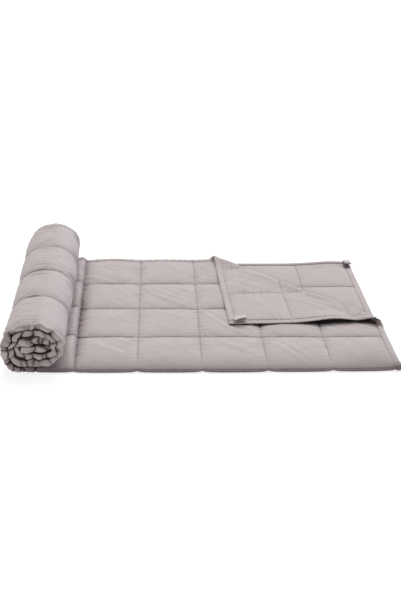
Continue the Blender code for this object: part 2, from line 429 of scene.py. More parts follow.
forms = {
    "ridgePlace": -0.2281,  # the pocket that the roll squeezes up beside itself
    "ridgeColumn": 5,  # the seam that it rises behind
    "ridgeReach": 0.0052,
    "ridgeHeight": 0.0088,
    "ridgeBehind": 0.0150,  # towards the roll
    "ridgeSeamDrop": 0.0038,  # how much deeper the seam next to it lies
    "ridgeSeamReach": 0.0125,
    "ridgeSeamBehind": 0.0040,
    "ridgeSides": 0.30,  # share of the drop away from the middle rows
    "ridgeMiddle": (0.22, 0.12),  # where those are across, and their spread
    "ridgeAtSeams": 0.42,  # share of its height at a row seam
    "ridgeEnds": (-0.2252, 0.2257),
    "ridgeLean": (0.0055, -0.0043),  # how much further right these ends lie
    "ridgeUnder": (0.0012, 0.016),  # how much lower the skin below its seam lies
    "ridgeWander": (0.0012, 0.0024),  # along all of it, and at its near end
    "ridgeCreases": 0.0007,  # that run from it into the next pocket
    "notchDepth": 0.0018,  # where a column seam goes round the folded edge
    "notchReach": 0.0075,
    "frontRoundness": 0.55,  # share of the height over the seam that is lost
    "frontReach": 0.040,
    "frontSeam": 0.0080,
    "frontSink": 0.14,  # and share of all its height
    "hemWave": 0.0030,
    "hemWaveFrom": 0.25,
    "cornerRise": 0.42,  # share by which the near right corner rises
    "cornerReach": 0.055,
    "hemStiffness": 0.55,  # and how much more its folded hem does
    "flapHemRise": 0.0075,  # the turned-back corner's hem stands clear
    "flapHemPlace": 0.250,
    "farHemRise": 0.0042,  # and the lower ply's far hem does
    "farHemPlace": 0.055,
    "frontBulge": 0.0022,
    "frontFoot": 0.0040,  # how much further out it comes at the floor
    "crestRise": 0.0034,  # the roll's top comes to a soft ridge along a seam
    "crestPlace": -0.2785,
    "rollFoot": 0.0062,  # its near end comes further out at the floor
    "rollBelly": 0.0042,  # and its left side halfway along
    "rollLean": 0.0065,  # how far its far end leans out
    "openSlipX": 0.0052,  # how far the uncovered corner has slipped
    "openSlipY": 0.0100,
}
# How far the strip has shifted along and across, at these places along it
stripPlaces = (-0.23, -0.11, 0.0, 0.10, 0.21, 0.30, 0.334)
stripShift = (0.0, 0.0026, 0.0028, 0.0042, 0.0042, 0.0, -0.0015)
foldPlaces = (-0.34, -0.20, 0.0, 0.20, 0.334)
foldShift = (-0.0010, -0.0030, -0.0020, 0.0005, 0.0040)
ridgeSeam = hem + forms["ridgeColumn"] * pocketAlong


def ridgeCreases(s, a):
    return wavesAlong(a + 0.35 * (s - ridgeSeam), 0.12, 0.034, 0.009, 7)


def ridgeByRoll(s, a):
    upper, a = a > 0, np.abs(a)
    across = pocketPlace(s, a)[1]
    wander, nearEnd = forms["ridgeWander"]
    place = rightEnd - forms["ridgePlace"] + wander * wavesAlong(a, 0.42, 0.16, 0.05, 4)
    past = s - place - nearEnd * smoothStep(0.14 - a, 0.08)
    tube = np.where(past > 0, bump(past, forms["ridgeBehind"]), bump(past, forms["ridgeReach"]))
    middle, spread = forms["ridgeMiddle"]
    middleRows = forms["ridgeSides"] + (1 - forms["ridgeSides"]) * bump(a - middle, spread)
    reach = np.where(s > ridgeSeam, forms["ridgeSeamBehind"], forms["ridgeSeamReach"])
    drop = forms["ridgeSeamDrop"] * bump(s - ridgeSeam, reach) * middleRows
    beyond = np.clip((ridgeSeam - s) / 0.034, 0, 1)
    window = np.clip(beyond * 6, 0, 1) * (1 - beyond) ** 1.5 * middleRows
    window = window * smoothStep(across - 4) * smoothStep(8.1 - across)
    held = forms["ridgeAtSeams"]
    belly = held + (1 - held) * np.abs(np.sin(math.pi * across)) ** 0.5
    height = forms["ridgeHeight"] * tube * belly + forms["ridgeCreases"] * window * ridgeCreases(s, a)
    return np.where(s < stripLength, np.where(upper, height, 0) - drop, 0)


def foldNotches(s, a):
    notch = bump(seamDistances(s, a)[0], forms["notchReach"]) * bump(a, 0.012)
    return forms["notchDepth"] * notch * smoothStep(s / 0.03 - 1)


def wavyHem(s, a):
    # the far hem lifts a little between the column seams
    along = pocketPlace(s, a)[0]
    near = smoothStep(np.abs(a) - halfWidth + 0.05, 0.05)
    wave = np.sin(math.pi * along) ** 2 * (0.6 + 0.4 * np.sin(1.7 * np.floor(along)))
    onStrip = (s < stripLength - 0.03) & (s > forms["hemWaveFrom"])
    return np.where(onStrip & (a > 0), forms["hemWave"] * near * wave, 0)


def settleFront(s, a, onStrip, y, z):
    # the folded edge sinks and bulges, and the short hem's near end is stiff
    y = y + foldNotches(s, a)
    z = z + ridgeByRoll(s, a) + wavyHem(s, a)
    front = bump(y - foldedEdge, forms["frontReach"]) * onStrip
    foot = forms["frontFoot"] * smoothStep(0.003 - a, 0.008) * bump(np.maximum(-a - 0.005, 0), 0.012)
    y = y - (forms["frontBulge"] * bump(y - foldedEdge, 0.012) + foot) * onStrip
    over = np.maximum(z - forms["frontSeam"], 0)
    z = z - forms["frontRoundness"] * front * over - forms["frontSink"] * front * z
    stiff = smoothStep(1.4 - s / 0.016) * smoothStep(1.2 - np.abs(a) / 0.024) * onStrip
    return y, z, stiff


def settleHems(s, a, stiff, x, y, z):
    away = np.hypot(x - rightEnd, y - foldedEdge)
    corner = 1 - smoothStep(away / forms["cornerReach"])
    rise = forms["cornerRise"] * corner + forms["hemStiffness"] * stiff
    z = z + rise * np.maximum(z - 0.003, 0)
    farHem = smoothStep(-a - halfWidth + 0.035, 0.03) * bump(s - forms["farHemPlace"], 0.050)
    z = z + forms["farHemRise"] * farHem
    lifted = bump(a - forms["flapHemPlace"], 0.050) * smoothStep(1 - s / 0.045) * (a > 0)
    return z + forms["flapHemRise"] * lifted * laidOpen(s, a)


def stripShifts(a, onStrip, x, y):
    nearFold = 1 - smoothStep(y - foldedEdge, 0.15)
    shiftX = np.interp(x, stripPlaces, stripShift) * onStrip
    shiftY = np.interp(x, foldPlaces, foldShift) * nearFold
    beside = smoothStep(-0.17 - x, 0.04) * onStrip
    shiftX = shiftX + beside * np.interp(y, forms["ridgeEnds"], forms["ridgeLean"])
    uncovered = smoothStep(-a - 0.05, 0.12) * onStrip
    shiftX = shiftX - forms["openSlipX"] * uncovered * smoothStep(x + 0.1, 0.2)
    farSide = smoothStep(-a - 0.25, 0.18) * smoothStep(x + 0.06, 0.05) * onStrip
    shiftY = shiftY - forms["openSlipY"] * farSide * (1 - 0.6 * smoothStep(x - 0.25, 0.08))
    return shiftX, shiftY


def rollShifts(onRoll, x, y, z):
    beyondFold = y - foldedEdge
    low = onRoll * (1 - smoothStep(z / 0.030))
    foot = low * bump(np.minimum(beyondFold, 0), 0.03) * bump(np.maximum(beyondFold, 0), 0.012)
    belly = bump(y - 0.085, 0.11) * smoothStep(-0.29 - x, 0.03) * onRoll
    lean = smoothStep(y - 0.02, 0.20) * smoothStep(z - 0.012, 0.03) * onRoll
    fromCrest = np.abs(x - forms["crestPlace"])
    crest = bump(fromCrest, 0.020) - 0.45 * bump(fromCrest - 0.04, 0.016)
    outside = smoothStep(z - 0.045, 0.03) * onRoll
    shiftX = -forms["rollBelly"] * belly - forms["rollLean"] * lean
    return shiftX, -forms["rollFoot"] * foot, forms["crestRise"] * crest * outside


def settle(s, a, points):
    # what the cloth's own slack does to where it lies, small against the whole
    x, y, z = points.T.copy()
    onStrip = 1 - smoothStep(s - stripLength + 0.06, 0.06)
    y, z, stiff = settleFront(s, a, onStrip, y, z)
    z = settleHems(s, a, stiff, x, y, z)
    stripX, stripY = stripShifts(a, onStrip, x, y)
    rollX, rollY, rollZ = rollShifts(1 - onStrip, x, y, z)
    return np.column_stack([x + stripX + rollX, y + stripY + rollY, z + rollZ])


def lay(s, a, lift):
    # where a point of the flat blanket lies, lift above its middle
    draw = blanket["seamDraw"] * (1 - fullness(s, a)) * (1 - 1.7 * laidOpen(s, a)) * (1 - stuffedFold(s, a))
    boxiness = 2 + 2.8 * smoothStep(s - stripLength, 0.04)
    y, height = foldOver(a, lift, draw, boxiness)
    upperX, upperY, over = turnBack(rightEnd - s, y, height - foldRadius)
    upperZ = pack / 2 + foldRadius + over
    angle, share = alongPath(s, "angle"), alongPath(s, "share")
    x = alongPath(s, "x") + height * share * np.sin(angle)
    z = alongPath(s, "z") - height * share * np.cos(angle)
    onStrip = (s < stripLength) & (a > pocketAcross * 0.5)
    x, y = np.where(onStrip, upperX, x), np.where(onStrip, upperY, y)
    z = np.where(onStrip, upperZ, z)
    points = settle(s, a, np.column_stack([x, y, z]))
    points[:, 2] = np.maximum(points[:, 2] - blanket["floorSettle"], 0)
    return points


# Quilting relief: a few pockets are simulated, and every pocket takes one

quilt = {
    "along": 4,
    "across": 3,
    "cells": 30,  # to a pocket's side
    "frames": 16,
    "smoothing": 14,  # rounds that find the even swelling, which is taken off
    "keep": 0.30,  # how much of the creases' height is used
}
clothSettings = {
    "quality": 6,
    "mass": 0.15,
    "air_damping": 4,
    "tension_stiffness": 30,
    "compression_stiffness": 30,
    "shear_stiffness": 8,
    "bending_stiffness": 0.6,
    "shrink_min": -0.045,  # larger than the room between its seams
    "vertex_group_mass": "seams",
    "use_pressure": True,
    "uniform_pressure_force": 0.5,
}


def pocketPanel():
    # a flat mesh of a few pockets, a row of points along each seam
    cells, along, across = quilt["cells"], quilt["along"], quilt["across"]
    panel = bmesh.new()
    bmesh.ops.create_grid(panel, x_segments=cells * along, y_segments=cells * across, size=0.5)
    for point in panel.verts:
        point.co.x = (point.co.x + 0.5) * pocketAlong * along
        point.co.y = (point.co.y + 0.5) * pocketAcross * across
    mesh = bpy.data.meshes.new("pocketPanel")
    panel.to_mesh(mesh)
    panel.free()
    return mesh


def swollen(mesh, seam):
    # its points when it has been blown up, held along its seams
    cloth = addObject("pocketPanel", mesh)
    pins = cloth.vertex_groups.new(name=clothSettings["vertex_group_mass"])
    pins.add([int(number) for number in np.flatnonzero(seam)], 1, "REPLACE")
    modifier = cloth.modifiers.new("cloth", "CLOTH")
    for name, value in clothSettings.items():
        setattr(modifier.settings, name, value)
    modifier.settings.effector_weights.gravity = 0
    modifier.collision_settings.use_collision = False
    modifier.point_cache.frame_start = 1
    modifier.point_cache.frame_end = quilt["frames"]
    scene = bpy.context.scene
    for number in range(1, quilt["frames"] + 1):
        scene.frame_set(number)
    graph = bpy.context.evaluated_depsgraph_get()
    points = pointsOf(cloth.evaluated_get(graph).to_mesh())
    scene.frame_set(1)
    bpy.data.objects.remove(cloth)
    return points


def simulatePockets():
    cells, along, across = quilt["cells"], quilt["along"], quilt["across"]
    mesh = pocketPanel()
    start = pointsOf(mesh)
    place = start[:, :2] / (pocketAlong, pocketAcross)
    dome = np.prod(1 - np.abs(2 * (place % 1) - 1) ** blanket["flatness"], axis=1)
    seam = (np.abs(place - np.round(place)) < 0.2 / cells).any(axis=1)
    dome[seam] = 0
    start[:, 2] = dome * (blanket["pocketThickness"] - blanket["seamThickness"]) / 2
    mesh.vertices.foreach_set("co", start.ravel())
    moved = swollen(mesh, seam) - start
    print("pocket relief", np.round(np.abs(moved).max(axis=0) / mm, 2), "mm at most")
    row, column = np.round(place * cells).astype(int).T
    sheet = np.zeros((cells * along + 1, cells * across + 1, 3))
    sheet[row, column] = moved
    swell = sheet[:, :, 2].copy()
    for number in range(quilt["smoothing"]):
        swell[1:-1, 1:-1] = (swell[:-2, 1:-1] + swell[2:, 1:-1] + swell[1:-1, :-2] + swell[1:-1, 2:]) / 4
        swell[::cells], swell[:, ::cells] = 0, 0
    sheet[:, :, 2] -= swell
    print("pocket creases", np.round(sheet[:, :, 2].std() / mm, 3), "mm on average")
    corners = [(i * cells, j * cells) for i in range(along) for j in range(across)]
    return np.array([sheet[i : i + cells + 1, j : j + cells + 1] for i, j in corners]) * quilt["keep"]


def pocketRelief(patches, s, a):
    # each pocket takes a patch, turned end for end or side for side
    along, across, inside = pocketPlace(s, a)
    i, j = np.floor(along).astype(int), np.floor(across).astype(int)
    number = (i * 5 + j * 7 + i * j) % len(patches)
    turnAlong, turnAcross = (i + j * 2) % 2 == 1, (i // 2 + j) % 2 == 1
    u = np.where(turnAlong, 1 - along % 1, along % 1) * quilt["cells"]
    v = np.where(turnAcross, 1 - across % 1, across % 1) * quilt["cells"]
    low, side = (np.minimum(place.astype(int), quilt["cells"] - 1) for place in (u, v))
    u, v = (u - low)[:, None], (v - side)[:, None]
    before = patches[number, low, side] * (1 - u) + patches[number, low + 1, side] * u
    after = patches[number, low, side + 1] * (1 - u) + patches[number, low + 1, side + 1] * u
    relief = before * (1 - v) + after * v
    relief[:, 0] *= np.where(turnAlong, -1, 1)
    relief[:, 1] *= np.where(turnAcross, -1, 1)
    return np.where(inside[:, None], relief, 0)


# Uneven waves, the same each run


def wavesAlong(place, seed, longest, shortest, count=9):
    # a smooth uneven line of about unit height, from waves between two lengths
    total = np.zeros(np.broadcast(place, seed).shape)
    for number in range(count):
        share = ((number * 0.618 + seed * 0.377) % 1 + number) / count
        length = longest * (shortest / longest) ** share
        phase = 2 * math.pi * ((seed * 7.31 + number * 3.17) % 1)
        total += np.sin(2 * math.pi * place / length + phase)
    return total / math.sqrt(count / 2)


slackWaves = {
    "height": 0.00056,
    "waves": (0.080, 0.014),  # the longest and the shortest
    "acrossShare": 0.45,  # of the height, for those that run the other way
}


def slackFolds(s, a):
    # soft folds that run aslant through each pocket
    along, across, inside = pocketPlace(s, a)
    number = np.floor(along) * 3.7 + np.floor(across) * 1.9
    window = np.abs(np.sin(math.pi * along) * np.sin(math.pi * across)) ** 0.7
    bent, diagonal = 0.006 * np.sin(s * 31 + a * 17), 0.7071
    aslant, other = (s - a) * diagonal + bent, (s + a) * diagonal - bent
    folds = wavesAlong(aslant, number, *slackWaves["waves"], 6)
    folds = folds + slackWaves["acrossShare"] * wavesAlong(other, number + 0.5, *slackWaves["waves"], 6)
    strength = 0.75 + 0.45 * np.sin(number * 2.3)
    strength = slackWaves["height"] * strength * (0.75 + 0.25 * slackness(s))
    return np.where(inside, window * strength * folds, 0)


puckers = {
    "reach": 0.0042,  # they're highest this far from their seam
    "columnHeight": 0.00125,
    "rowHeight": 0.00060,
    "dimple": 0.0009,  # how much deeper the seams lie where they cross
    "dimpleReach": 0.0085,
    "waves": (0.014, 0.0055),  # the longest and the shortest
}


def seamPuckers(s, a):
    # short creases that cross each seam: the thread draws the cloth in
    along, across, inside = pocketPlace(s, a)
    height = np.zeros(len(s))
    slack = slackness(s)
    for place, other, size, amount in (
        (along, a, pocketAlong, puckers["columnHeight"] * (blanket["columnsOnRoll"] + slack)),
        (across, s, pocketAcross, puckers["rowHeight"]),
    ):
        seam = np.round(place)
        distance = np.abs(place - seam) * size
        near = distance / puckers["reach"]
        fade = near * np.exp(1 - near)
        waves = wavesAlong(other, seam * 1.7 + 0.3, *puckers["waves"])
        strength = 0.65 + 0.35 * wavesAlong(other, seam + 0.9, 0.21, 0.05, 4)
        height += amount * fade * waves * np.clip(strength, 0.1, 1.6)
    height *= (1 - 0.8 * stuffedFold(s, a)) * (1 - 0.7 * bump(s - hem, 0.010))
    height -= puckers["dimple"] * bump(np.hypot(*seamDistances(s, a)), puckers["dimpleReach"])
    return np.where(inside, height, 0)


creases = {
    "hemHeight": 0.00042,
    "bendHeight": 0.0007,
    "bendReach": 0.020,
    "waves": (0.019, 0.0065),  # the longest and the shortest
}


def hemRipples(s, a):
    # the hems draw up a little along their stitching
    fromEnd, fromSide = edgeDistances(s, a)
    size = creases["waves"]
    onEnd = bump(fromEnd - 0.007, 0.006) * wavesAlong(a, 0.37, *size)
    onSide = bump(fromSide - 0.007, 0.006) * wavesAlong(s, 0.83 + np.sign(a) * 0.2, *size)
    return creases["hemHeight"] * (onEnd + onSide)


def bendCreases(s, a):
    # short creases over the turned-back corner's bend, at the short edge
    x, y, past = beforeTurning(s, a)
    window = bump(past - 0.010, creases["bendReach"]) * smoothStep(x - 0.25, 0.05)
    waves = wavesAlong(x - y, 0.55, *creases["waves"])
    return np.where(a > 0, creases["bendHeight"] * window * waves, 0)


pinches = {
    "seed": 4,
    "apart": 0.0100,  # on average, along the folded edge on the roll
    "spacing": (0.45, 0.8, 1.2, 1.9),  # as shares of that
    "depth": (0.0012, 0.0052),
    "width": (0.0009, 0.0021),
    "slant": 0.6,
    "sink": 0.3,  # share of its depth by which a pinch thins the cloth
    "draw": 0.75,  # and by which it draws the edge in
    "reach": 0.0105,  # how far they run in from the folded edge
    "outerShare": 0.7,  # how much deeper they are low on the left
    "edgeWander": 0.0022,
    "crumple": 0.0010,
}


def foldPinches(s, a):
    # short radial creases where the folded edge is bent round the roll
    draws = np.random.default_rng(pinches["seed"])
    depth, place = np.zeros(len(s)), stripLength - 0.03
    past = a - blanket["foldAboveSeam"]
    near = np.exp(-np.abs(past / pinches["reach"]) ** 2.5)
    outside = smoothStep(-0.0015 - past, 0.005) * (1 - smoothStep(s - stripLength - 0.25, 0.03))
    near = near * (1 - 0.75 * outside * smoothStep(s - stripLength - 0.01, 0.03))
    while place < blanket["length"]:
        place += pinches["apart"] * draws.choice(pinches["spacing"]) * draws.uniform(0.8, 1.25)
        deep, wide = draws.uniform(*pinches["depth"]), draws.uniform(*pinches["width"])
        deep *= 1 + pinches["outerShare"] * bump(place - stripLength - 0.045, 0.05)
        slant = draws.uniform(-pinches["slant"], pinches["slant"])
        depth += deep * np.exp(-np.abs(s - place - slant * past) / wide)
    return depth * near


def crumple(points, s):
    # the end of the roll is pushed about a little, all its layers together
    x, y, z = points.T
    size = pinches["crumple"] * smoothStep(s - stripLength, 0.05)
    size = size * bump(y - foldedEdge, 0.022) * smoothStep(z - 0.003, 0.02)
    turn = x * 0.5 + z * 0.87
    shiftX = wavesAlong(z + 0.3 * x, 0.31, 0.045, 0.017, 6) * size
    shiftZ = wavesAlong(x - 0.25 * z, 0.77, 0.045, 0.017, 6) * size
    return np.column_stack([x + shiftX, y + 0.4 * shiftZ * np.sin(turn * 200), z + shiftZ])


def edgeWander(s, a):
    # and its turns don't end quite level
    onRoll = smoothStep(s - stripLength, 0.05)
    wander = wavesAlong(s, 0.4, 0.19, 0.045, 6)
    return pinches["edgeWander"] * wander * onRoll * np.exp(-np.abs(a / 0.03) ** 2)


rollWrinkles = {"height": 0.0013, "waves": (0.015, 0.006)}


def wrinklesRound(s, a):
    # fine creases that run round the roll's outside
    window = smoothStep(s - stripLength - 0.01, 0.03) * (a < 0)
    strength = np.clip(0.5 + 0.7 * wavesAlong(s, 0.21, 0.14, 0.05, 5), 0, 1.5)
    place = np.abs(np.abs(a) % pocketAcross / pocketAcross - 0.5) * 2
    waves = wavesAlong(a + 0.004 * np.sin(s * 60), 0.63, *rollWrinkles["waves"])
    return rollWrinkles["height"] * window * strength * place * waves


# Blanket mesh: points are close together where a skin shows, and far apart elsewhere

meshing = {
    "seamSteps": (0, 0.0009, 0.0019, 0.0034, 0.0056),  # from a seam outwards
    "step": 0.0031,  # inside a pocket
    "hemSteps": (0, 0.0018, 0.0040, 0.0062, 0.0084, 0.0104, 0.0120),  # in from an edge
    "hiddenEvery": (7, 9),  # along and across, of the points on a hidden skin
    "hiddenInRoll": (3, 9),
    "foldStep": (0.0012, 0.0009),  # round the folded edge on the roll, along and across
    # extra rows over the ridge by the roll
    "ridgeRows": (-0.0044, -0.0015, 0.0, 0.0015, 0.0030, 0.0045, 0.0060),
    "foldBand": 0.0105,
    "spare": 0.012,  # how far past what shows the points stay close
    "underRidge": 0.026,  # how far the skin below it keeps more rows
    "underRidgeEvery": 3,
    "least": 0.0002,  # between the middle of a ply and its skins
}


def pocketRows(size):
    near = list(meshing["seamSteps"])
    count = round((size - 2 * near[-1]) / meshing["step"])
    middle = list(np.linspace(near[-1], size - near[-1], count + 1))
    return near[:-1] + middle + [size - step for step in reversed(near[1:-1])]


def rowsAcross(pockets, size):
    # every row over a whole side
    inHem, rows = list(meshing["hemSteps"]), []
    for pocket in range(pockets):
        rows += [hem + pocket * size + row for row in pocketRows(size)]
    whole = 2 * hem + pockets * size
    return np.array(inHem[:-1] + rows + [whole - row for row in reversed(inHem)])


def shows(s, a, side):
    # whether a point of a skin can be seen, with a little to spare
    x, y, past = beforeTurning(s, a)
    onStrip = s < rightEnd + 0.250
    spare = meshing["spare"]
    underFlap = (x > flap["hemEnd"]) & (y > -0.060) & (past < -spare)
    top = (side > 0) & (a > -spare) & onStrip & (past < 0.028) & ~underFlap
    onRoll = (s > stripLength + 0.02) & (s < stripLength + outerTurn + 0.085)
    outerRoll = (side > 0) & (a < spare) & onRoll
    turned = (side < 0) & (past > -spare) & onStrip
    fold = (side > 0) & (np.abs(a) < spare)
    rim = ((np.abs(a) > halfWidth - 0.013) & (s < stripLength + outerTurn)) | (s < 0.013)
    return top | outerRoll | turned | fold | rim


def foldRows(s):
    # the folded edge turns tightly, so it has rows of its own
    alongStep, acrossStep = meshing["foldStep"]
    band, bent = meshing["foldBand"], stripLength - 0.02
    rows = np.arange(-band, band + tiny, acrossStep)
    places = (*s[s < bent][1:], *np.arange(bent, s[-1] - 0.0008, alongStep))
    return [(place, row) for place in places for row in rows]


def skinPoints(side):
    s = rowsAcross(blanket["pocketsAlong"], pocketAlong)
    a = rowsAcross(blanket["pocketsAcross"], pocketAcross) - halfWidth
    s = np.sort(np.concatenate([s, rightEnd - forms["ridgePlace"] + np.array(meshing["ridgeRows"])]))
    i, j = (index.ravel() for index in np.meshgrid(np.arange(len(s)), np.arange(len(a)), indexing="ij"))
    grid = np.column_stack([s[i], a[j]])
    loose = s[i] < stripLength - 0.02
    every = np.where(loose[:, None], meshing["hiddenEvery"], meshing["hiddenInRoll"])
    kept = (i % every[:, 0] == 0) & (j % every[:, 1] == 0)
    kept |= shows(s[i], a[j], side)
    if side < 0:  # under the ridge, so that wide triangles don't come through above
        fromSeam = np.abs(s[i] - ridgeSeam)
        kept |= (fromSeam < meshing["underRidge"]) & (a[j] > 0) & (j % meshing["underRidgeEvery"] == 0)
        grid = grid[kept]
    else:
        kept &= (np.abs(a[j]) > meshing["foldBand"] + 0.0006) | (s[i] < tiny) | (s[i] > s[-1] - tiny)
        grid = np.vstack([grid[kept], foldRows(s)])
    onRim = (i == 0) | (i == len(s) - 1) | (j == 0) | (j == len(a) - 1)
    rim = np.column_stack([s[i[onRim]], a[j[onRim]]])
    return np.unique(np.round(np.vstack([grid, rim]), 7), axis=0)


def skinFaces(points):
    found = delaunay_2d_cdt([Vector(point) for point in points], [], [], 0, 1e-7)
    return np.array(found[0]), [tuple(face) for face in found[2]]


def flatSkins():
    # both skins of the flat blanket at (s, a, side), closed round the rim
    points, faces, rims = [], [], []
    for side in (1.0, -1.0):
        places, triangles = skinFaces(skinPoints(side))
        start = sum(len(block) for block in points)
        points.append(np.column_stack([places, np.full(len(places), side)]))
        for triangle in triangles:
            turned = triangle if side < 0 else triangle[::-1]
            faces.append(tuple(start + corner for corner in turned))
        s, a = places.T
        around = np.arctan2(a / halfWidth, s / (blanket["length"] / 2) - 1)
        order = np.flatnonzero(np.minimum(*edgeDistances(s, a)) < tiny)
        rims.append(start + order[np.argsort(around[order])])
    upper, lower = rims
    for k in range(len(upper)):
        after = (k + 1) % len(upper)
        faces.append((int(upper[k]), int(upper[after]), int(lower[after]), int(lower[k])))
    return newMesh("quilted_blanket", np.vstack(points), [], faces)


# Painted shade: how much of the light is kept out, painted into the cloth's colour, and within what reach

shadows = {
    "line": 0.0013,  # a seam's
    "columns": 0.62,
    "crossing": (0.8, 0.0034),
    "uneven": (0.50, 0.16),
    "hemSeam": (0.6, 0.0024),
    "underBend": (0.34, 0.024),
    "farHem": (0.55, 0.0028),
    "onFarHem": 0.22,
    "byRidge": (0.0075, 0.0020),  # in front of its seam and behind it
    "byFront": 0.50,
    "frontReach": (0.028, 0.016),
    "endFace": 0.07,
    "corner": 0.65,
    "underFlap": 0.9,
    "underHem": 0.95,
    "pocketShading": (0.17, 0.010),  # painted shade, darker in each pocket towards the seam on its near side
    "pinch": 0.0036,  # a pinch this deep is painted quite dark
}


def shadow(key, distance):
    dark, reach = shadows[key]
    return dark * bump(distance, reach)


def seamShade(s, a, side, turned):
    # painted shade along each seam's crease, uneven, and darkest where two cross
    along, across, inside = pocketPlace(s, a)
    toColumn, toRow = seamDistances(s, a)
    slack = slackness(s)
    column = bump(toColumn, shadows["line"]) * slack * (shadows["columns"] - 0.25 * (s < 0.03))
    row = bump(toRow, shadows["line"] * (1.8 - 0.8 * slack)) * (0.85 + 0.15 * slack)
    row = row * (1 - 0.5 * (1 - slack) * (np.round(across) != 2))  # on the roll every row seam but one gets half the painted shade
    seam = np.where(inside, np.maximum(column, row), 0) * (1 - 0.8 * stuffedFold(s, a))
    farOff = np.maximum(smoothStep(s - 0.19, 0.03), smoothStep(0.25 - a, 0.03))
    seam = seam * (1 - turned * (0.6 + 0.4 * farOff))
    even, uneven = shadows["uneven"]
    uneven = even + uneven * wavesAlong(s + 1.7 * a, 0.52, 0.060, 0.012, 7)
    toCrossing = np.hypot(along - np.round(along), across - np.round(across)) * pocketAlong
    crossing = shadow("crossing", toCrossing) * (1 - turned)
    hemSeam = shadow("hemSeam", s - hem) * turned * (side < 0) * smoothStep(a - 0.20, 0.05)
    return np.maximum(seam * np.clip(np.maximum(uneven, crossing), 0.3, 1), hemSeam)


def foldShade(s, a, side):
    # painted shade at the folded edge: between the roll's turns, on its end face, at the floor, at the
    # corner, in front
    tight = 1 - slackness(s)
    past = np.abs(overFold(a)) / foldRadius
    outermost = (a < 0) & (s < stripLength + outerTurn + 0.02)
    gap = np.where(outermost, 0, tight * smoothStep(past - 0.72, 0.55) * bump(a, 0.013))
    endFace = tight * (side > 0) * shadows["endFace"] * smoothStep(1.25 - past, 0.30) * bump(a, 0.014)
    below = slackness(s) * smoothStep(0.0010 - a, 0.0065) * bump(a, 0.020)
    corner = shadows["corner"] * smoothStep(1.6 - s / 0.014) * bump(a, 0.024)
    reach, further = shadows["frontReach"]
    reach = reach + further * smoothStep(0.13 - s, 0.10)
    depth = np.maximum(plyStart + np.abs(a) + 0.006, 0) / reach
    byFront = slackness(s) * (side > 0) * shadows["byFront"] * np.exp(-(depth**1.5))
    return np.maximum.reduce([gap, endFace, below, corner, byFront])


def ridgeShade(s, a, side):
    # painted shade beside the ridge's seam, reaching further into the next pocket than up the ridge
    before, behind = shadows["byRidge"]
    beside = np.where(s < ridgeSeam, (ridgeSeam - s) / before, (s - ridgeSeam) / behind)
    dark = np.exp(-(beside**1.25)) * (a > 0) * (side > 0) * (0.62 + 0.38 * bump(a - 0.20, 0.12))
    return dark * (1.0 + 0.12 * ridgeCreases(s, a))


def lowerShade(s, a, side, past):
    # painted shade on the uncovered ply: under the bend, along its far hem and round its loop
    dark, reach = shadows["underBend"]
    underBend = dark * np.exp(-np.maximum(np.maximum(past, 0) - 0.022, 0) / reach)
    farHem = shadow("farHem", -a - halfWidth + 0.011)
    onFarHem = shadows["onFarHem"] * (-a > halfWidth - 0.010)
    underLoop = bump(s - 0.008, 0.008) * bump(a + 0.424, 0.0065)
    shade = np.maximum.reduce([underBend, farHem, onFarHem, underLoop])
    return np.where((side < 0) & (a < 0) & (s < stripLength), shade, 0)


def flapShade(s, a, side, x, y, past):
    # painted shadow on the upper ply, where the turned-back corner lies over it
    onTop = (side > 0) & (a > 0)
    bend = smoothStep(past - 0.004, 0.010) * onTop * smoothStep(0.010 - s, 0.004)
    hemLine = flap["hemSlope"] * (x - flap["hemEnd"]) + flap["hemLine"]
    under = smoothStep(y - hemLine + 0.003, 0.009) * smoothStep(x - 0.048, 0.010)
    under = under * onTop * (s < stripLength) * (past < 0)
    return np.maximum(shadows["underFlap"] * bend, shadows["underHem"] * under)


def paintedShade(s, a, side):
    # how much shade is painted into the colour, 0 to 1, where a seam, a pinch or a tight gap keeps the
    # light out
    across, inside = pocketPlace(s, a)[1:]
    x, y, past = beforeTurning(s, a)
    turned = laidOpen(s, a) * (a > 0)
    seam, fold = seamShade(s, a, side, turned), foldShade(s, a, side)
    ridge, lower = ridgeShade(s, a, side), lowerShade(s, a, side, past)
    deepest = np.maximum.reduce([seam, fold, ridge, lower, flapShade(s, a, side, x, y, past)])
    # painted shade, darker in each pocket towards the seam on its near side
    near = np.where(a > 0, across % 1, 1 - across % 1) * pocketAcross
    dark, reach = shadows["pocketShading"]
    pocketShade = dark * np.exp(-near / reach) * inside * (1 - turned) * (1 - stuffedFold(s, a))
    return np.clip(deepest + pocketShade + foldPinches(s, a) / shadows["pinch"], 0, 1)


def blanketPoints(patches, flat, above=0):
    s, a, side = flat[:, 0], flat[:, 1], flat[:, 2]
    relief = pocketRelief(patches, s, a)
    stuffed = stuffedFold(s, a)
    half = thickness(s, a) / 2 * (1 - stuffed) + blanket["pocketThickness"] / 2 * stuffed
    toSeam = np.where(pocketPlace(s, a)[2], np.minimum(*seamDistances(s, a)), 1)
    crease = blanket["seamCrease"] * np.exp(-toSeam / blanket["creaseReach"])
    pinch = foldPinches(s, a)
    raised = relief[:, 2] + slackFolds(s, a) + seamPuckers(s, a) + wrinklesRound(s, a) + hemRipples(s, a)
    raised = raised * (1 - 0.85 * slackness(s) * smoothStep(0.002 - a, 0.006))
    raised = raised - crease - pinches["sink"] * pinch
    swell = np.where((side > 0) & (a > 0), blanket["topSwell"] * slackness(s) * (1 - laidOpen(s, a)), 0)
    # the two skins of a ply never meet, however deep a seam draws them in
    apart = np.maximum(half * (1 + swell) + raised, meshing["least"])
    lower, reach = forms["ridgeUnder"]
    apart = apart + lower * bump(s - ridgeSeam, reach) * ((side < 0) & (a > 0))
    lift = side * (apart + above) + bendCreases(s, a)
    s, a = s + relief[:, 0], a + relief[:, 1]
    points = lay(s, a, lift)
    points[:, 1] += pinch * pinches["draw"] + edgeWander(s, a)
    return crumple(points, s)


